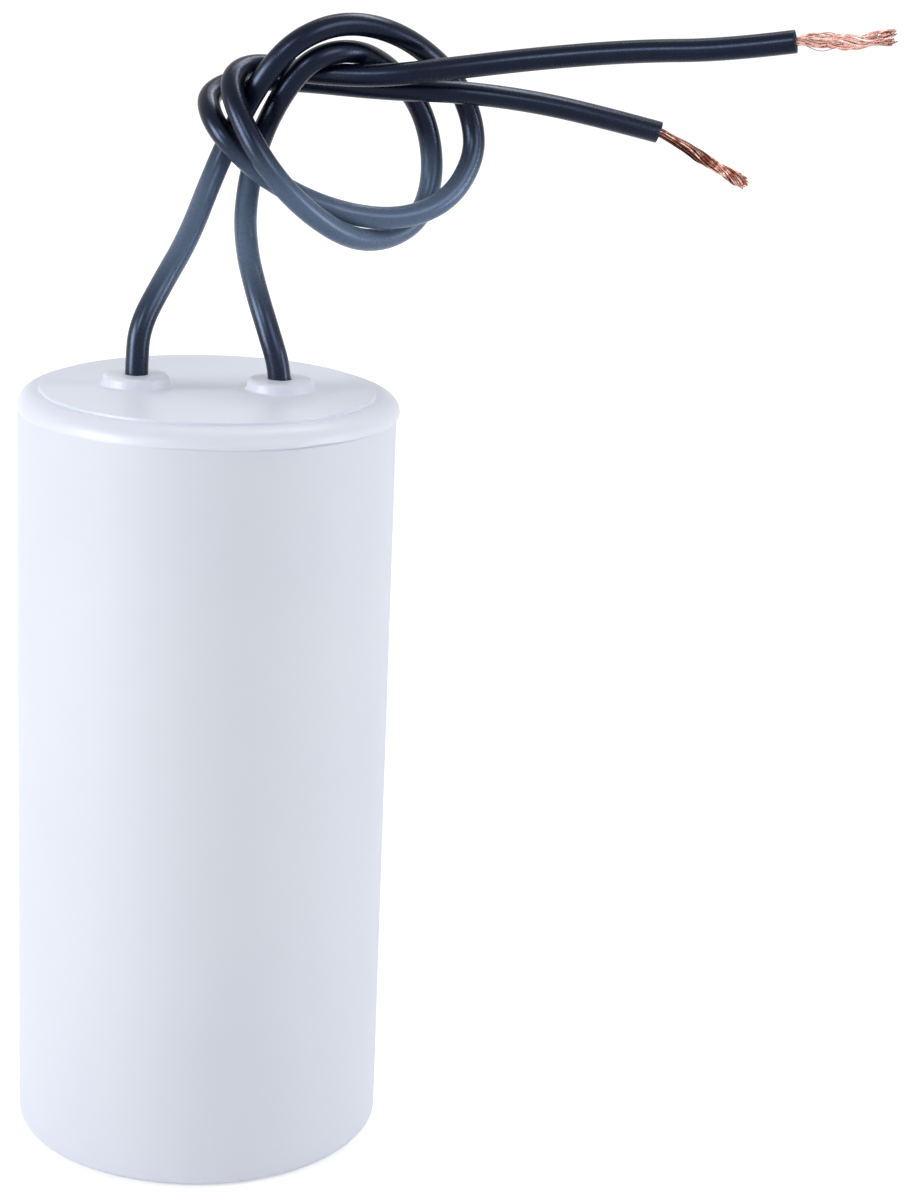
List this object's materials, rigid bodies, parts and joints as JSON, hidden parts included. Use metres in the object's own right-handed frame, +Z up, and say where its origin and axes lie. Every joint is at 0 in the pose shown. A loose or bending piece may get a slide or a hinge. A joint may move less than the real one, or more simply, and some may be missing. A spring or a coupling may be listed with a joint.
{
  "type": "motor run capacitor",
  "caption": "Round white plastic can capacitor with a stepped lid and black flying leads tied in a loose overhand knot, their ends stripped to bare copper.",
  "frame": {"origin": "centre of the can's flat underside", "axes": "+Z up along the can's axis towards the lid, X through both lead collars, -Y towards the viewer of the picture"},
  "size_m": [0.1016, 0.0523, 0.1387],
  "materials": {
    "white_plastic": "satin bluish white moulded plastic",
    "lead_insulation": "satin black vinyl",
    "copper": "bright bare copper strands",
    "metallised_film": "metallised film, silver grey",
    "core_plastic": "natural plastic",
    "sprayed_zinc": "rough sprayed zinc",
    "solder": "dull solder",
    "potting_resin": "dark potting resin"
  },
  "bodies": {
    "root": {"case": "white_plastic", "lid": "white_plastic", "left_lead": "lead_insulation", "right_lead": "lead_insulation", "left_lead_inner": "lead_insulation", "right_lead_inner": "lead_insulation", "left_bare_end": "copper", "right_bare_end": "copper", "film_winding": "metallised_film", "winding_core": "core_plastic", "upper_end_spray": "sprayed_zinc", "lower_end_spray": "sprayed_zinc", "upper_solder_joint": "solder", "lower_solder_joint": "solder", "resin_fill": "potting_resin"}
  },
  "joints": []
}
